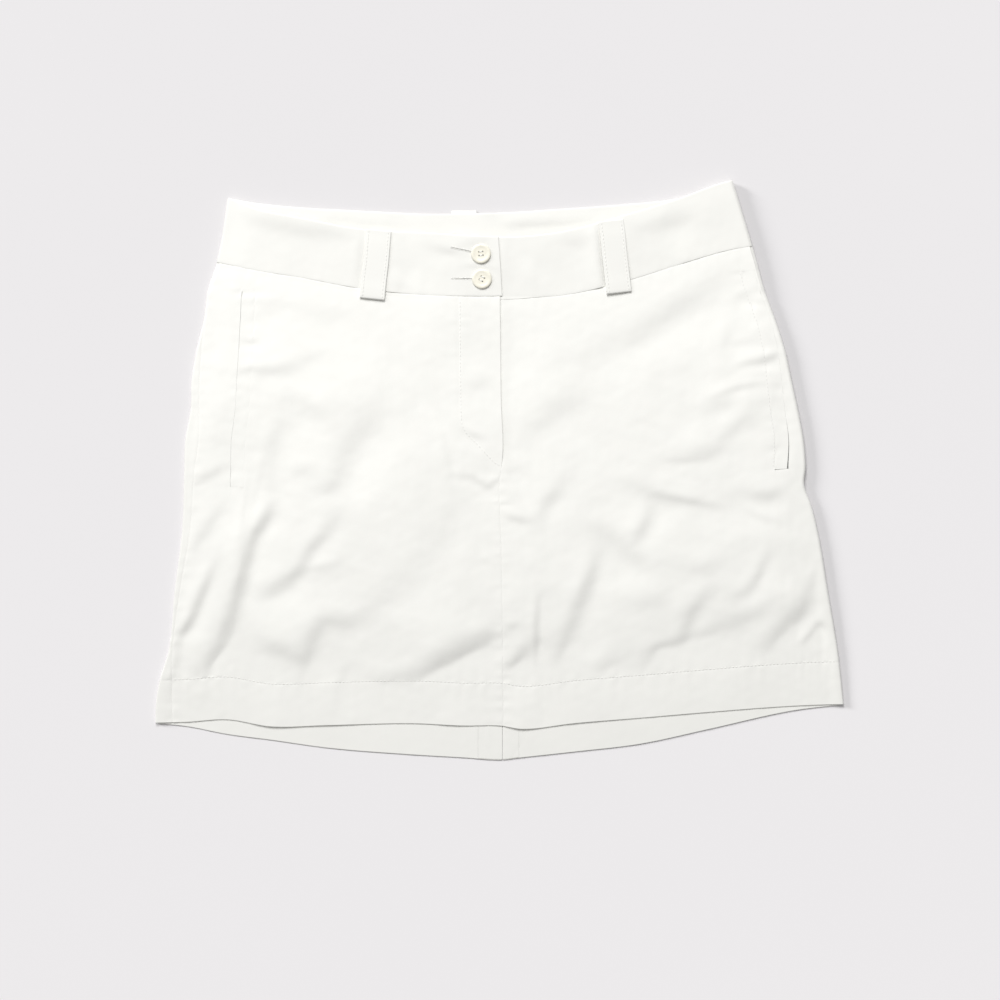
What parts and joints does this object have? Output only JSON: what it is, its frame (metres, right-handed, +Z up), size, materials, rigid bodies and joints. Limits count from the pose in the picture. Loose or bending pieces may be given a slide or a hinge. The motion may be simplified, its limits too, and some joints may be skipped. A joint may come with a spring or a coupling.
{
  "type": "golf skirt",
  "caption": "Off-white cotton twill golf skirt laid flat with its front up, with a buttoned waistband, belt loops, welt pockets and a back vent.",
  "frame": {"origin": "centre of the bounding box in plan, on the surface the skirt lies on", "axes": "+X towards the viewer's right across the skirt, +Y along the table towards the waist, +Z up from the surface"},
  "size_m": [0.5494, 0.4631, 0.0114],
  "materials": {
    "twill": "matte cotton twill",
    "pocketing": "plain pocket cotton",
    "zip_tape": "woven tape",
    "pearl": "glossy cream"
  },
  "bodies": {
    "root": {"front_left": "twill", "front_right": "twill", "back_left": "twill", "back_right": "twill", "waistband_front_left": "twill", "waistband_front_right": "twill", "waistband_back": "twill", "belt_loop_front_left": "twill", "belt_loop_front_right": "twill", "belt_loop_back": "twill", "button_upper": "pearl", "button_lower": "pearl", "pocket_welt_left": "twill", "pocket_welt_right": "twill", "pocket_bag_left": "pocketing", "pocket_bag_right": "pocketing", "fly_zip": "zip_tape"}
  },
  "joints": []
}
